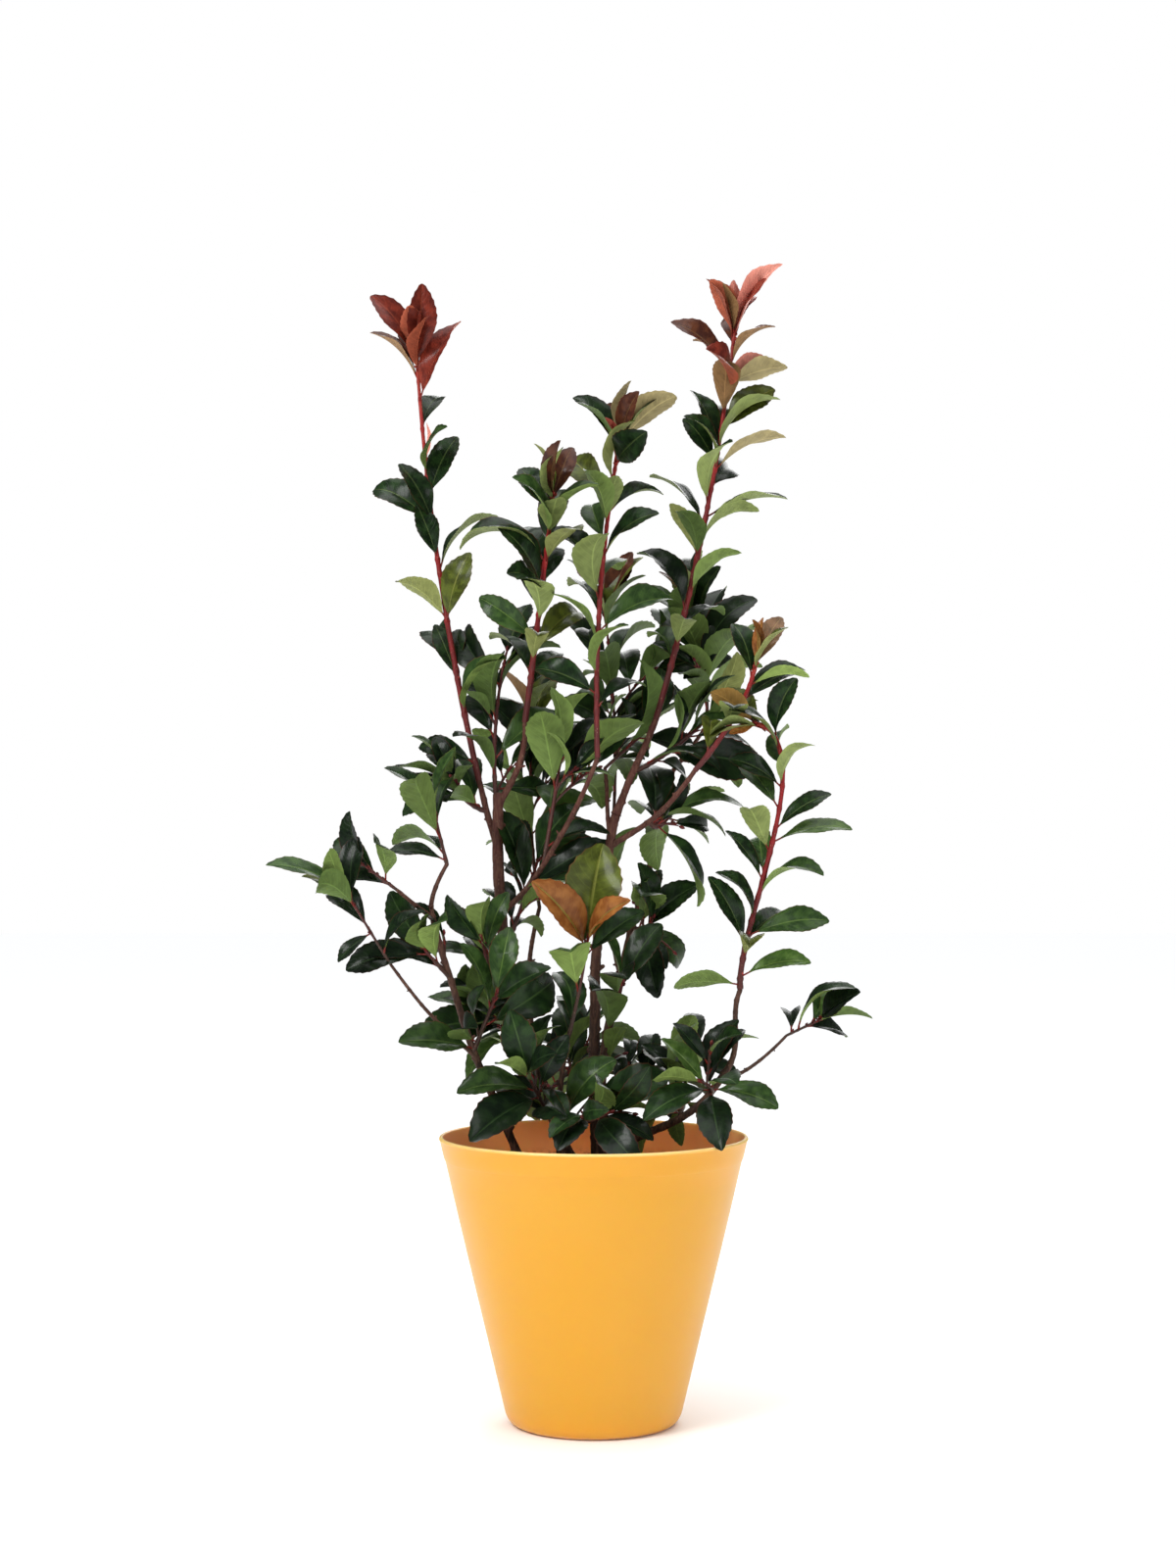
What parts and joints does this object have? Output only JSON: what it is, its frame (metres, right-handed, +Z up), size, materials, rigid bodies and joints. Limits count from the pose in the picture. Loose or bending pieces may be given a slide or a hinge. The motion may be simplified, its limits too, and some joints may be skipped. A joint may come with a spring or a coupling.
{
  "type": "potted photinia shrub",
  "caption": "Photinia shrub in a tapered planter: a clump of slender stems forking into leafy shoots, open at the top and dense low down.",
  "frame": {"origin": "middle of the planter's flat underside, on the surface that it stands on", "axes": "+Z up along the planter's axis; the shrub's broad side looks along -Y and +X is to its right"},
  "size_m": [0.6173, 0.4236, 1.212],
  "materials": {
    "pot": "satin ochre plastic",
    "soil": "damp fibrous potting mix",
    "bark": "young brown bark with a red flush",
    "foliage": "leathery leaves, glossy above and matt below"
  },
  "bodies": {
    "root": {"bough_back": "bark", "bough_back_right": "bark", "bough_centre_mid": "bark", "bough_cross": "bark", "bough_far_left": "bark", "bough_left_centre_tall": "bark", "bough_left_inner": "bark", "bough_left_low": "bark", "bough_left_tall": "bark", "bough_low_right": "bark", "bough_right_arch": "bark", "bough_right_diagonal": "bark", "bough_right_tall": "bark", "foliage_back": "foliage", "foliage_back_left": "foliage", "foliage_back_right": "foliage", "foliage_centre_mid": "foliage", "foliage_centre_tall": "foliage", "foliage_cross": "foliage", "foliage_cross_low": "foliage", "foliage_far_left": "foliage", "foliage_front": "foliage", "foliage_inner_left": "foliage", "foliage_left_centre": "foliage", "foliage_left_centre_tall": "foliage", "foliage_left_foot": "foliage", "foliage_left_inner": "foliage", "foliage_left_low": "foliage", "foliage_left_stem": "foliage", "foliage_left_tall": "foliage", "foliage_left_upper": "foliage", "foliage_low_back": "foliage", "foliage_low_back_left": "foliage", "foliage_low_back_right": "foliage", "foliage_low_centre": "foliage", "foliage_low_front": "foliage", "foliage_low_left": "foliage", "foliage_low_right": "foliage", "foliage_low_right_inner": "foliage", "foliage_mid_right": "foliage", "foliage_mid_right_low": "foliage", "foliage_right_arch": "foliage", "foliage_right_diagonal": "foliage", "foliage_right_inner": "foliage", "foliage_right_tall": "foliage", "foliage_rim_right": "foliage", "pot": "pot", "potting_soil": "soil", "stem_back": "bark", "stem_back_left": "bark", "stem_centre": "bark", "stem_front": "bark", "stem_left": "bark", "stem_left_centre": "bark", "stem_right": "bark"}
  },
  "joints": []
}
